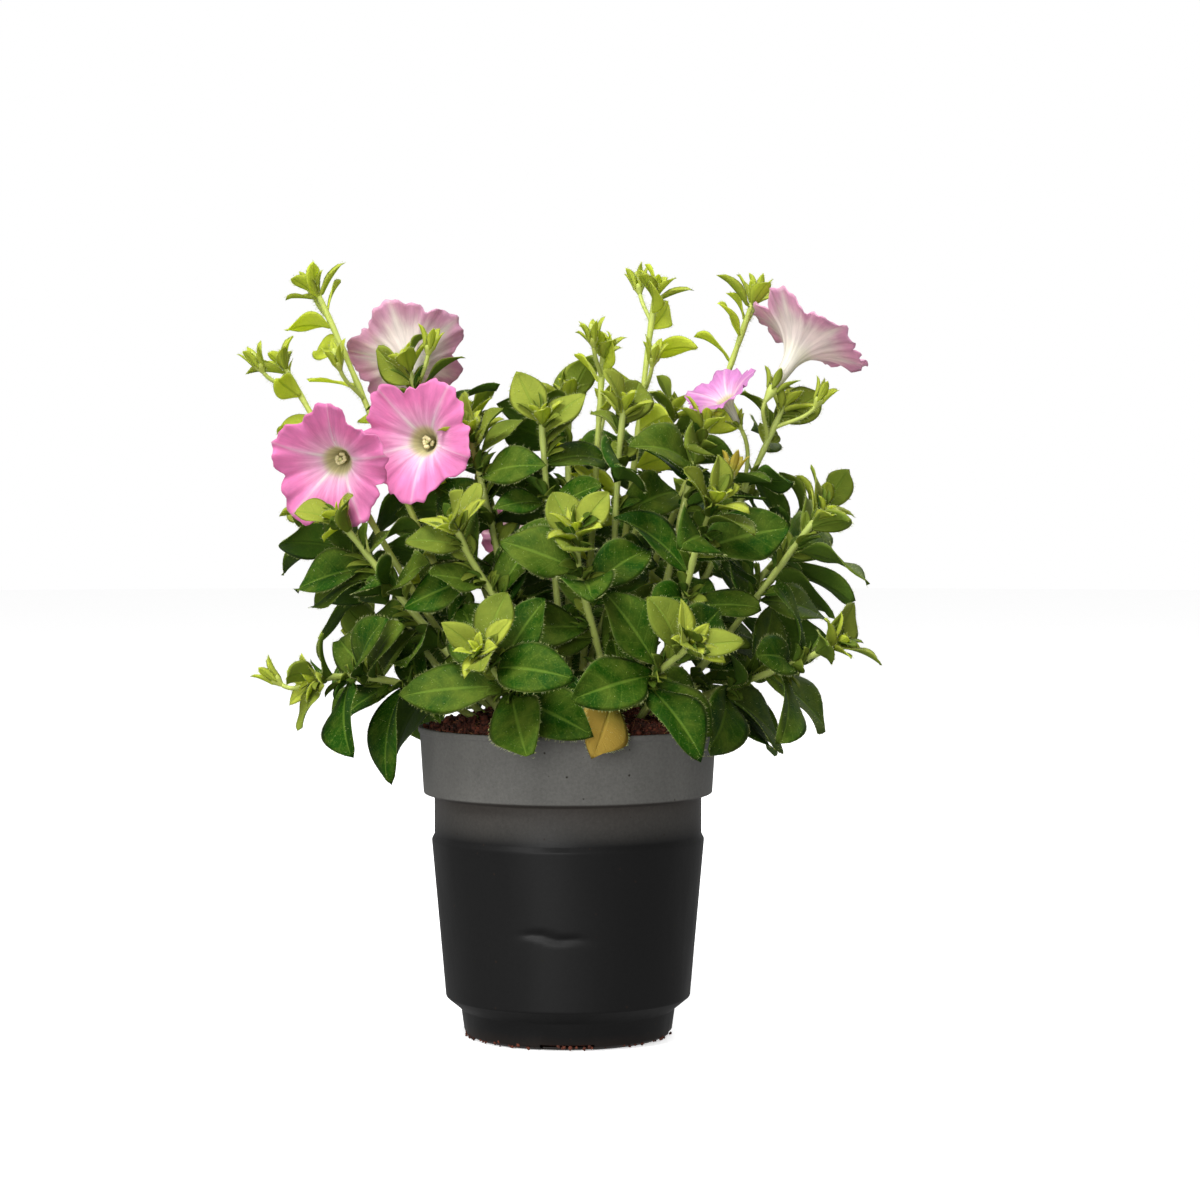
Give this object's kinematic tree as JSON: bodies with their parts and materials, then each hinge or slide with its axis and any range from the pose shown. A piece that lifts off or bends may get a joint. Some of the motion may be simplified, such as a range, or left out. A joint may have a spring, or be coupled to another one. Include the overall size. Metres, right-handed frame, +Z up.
{
  "type": "potted petunia",
  "caption": "Bushy flowering petunia with pink trumpet blooms, growing in soil in a plain round nursery pot that stands on its flat foot.",
  "frame": {"origin": "on the pot's axis, at the flat underside of its foot", "axes": "+Z up along the pot's axis, -Y towards the plant's front, +X to the right seen from the front"},
  "size_m": [0.252, 0.2149, 0.3104],
  "materials": {
    "pot_plastic": "satin",
    "peat": "matte",
    "foliage": "satin",
    "petal": "matte",
    "anther": "matte"
  },
  "bodies": {
    "root": {"pot": "pot_plastic", "soil": "peat", "leafy_stem_01": "foliage", "leafy_stem_02": "foliage", "leafy_stem_03": "foliage", "leafy_stem_04": "foliage", "leafy_stem_05": "foliage", "leafy_stem_06": "foliage", "leafy_stem_07": "foliage", "leafy_stem_08": "foliage", "leafy_stem_09": "foliage", "leafy_stem_10": "foliage", "leafy_stem_11": "foliage", "leafy_stem_12": "foliage", "leafy_stem_13": "foliage", "leafy_stem_14": "foliage", "leafy_stem_15": "foliage", "leafy_stem_16": "foliage", "leafy_stem_17": "foliage", "leafy_stem_18": "foliage", "leafy_stem_19": "foliage", "leafy_stem_20": "foliage", "leafy_stem_21": "foliage", "leafy_stem_22": "foliage", "leafy_stem_23": "foliage", "leafy_stem_24": "foliage", "leafy_stem_25": "foliage", "leafy_stem_26": "foliage", "leafy_stem_27": "foliage", "leafy_stem_28": "foliage", "leafy_stem_29": "foliage", "leafy_stem_30": "foliage", "leafy_stem_31": "foliage", "corolla_01": "petal", "corolla_02": "petal", "corolla_03": "petal", "corolla_04": "petal", "corolla_05": "petal", "corolla_06": "petal", "stamens_01": "anther", "stamens_02": "anther", "stamens_03": "anther", "stamens_04": "anther", "stamens_05": "anther", "stamens_06": "anther"}
  },
  "joints": []
}
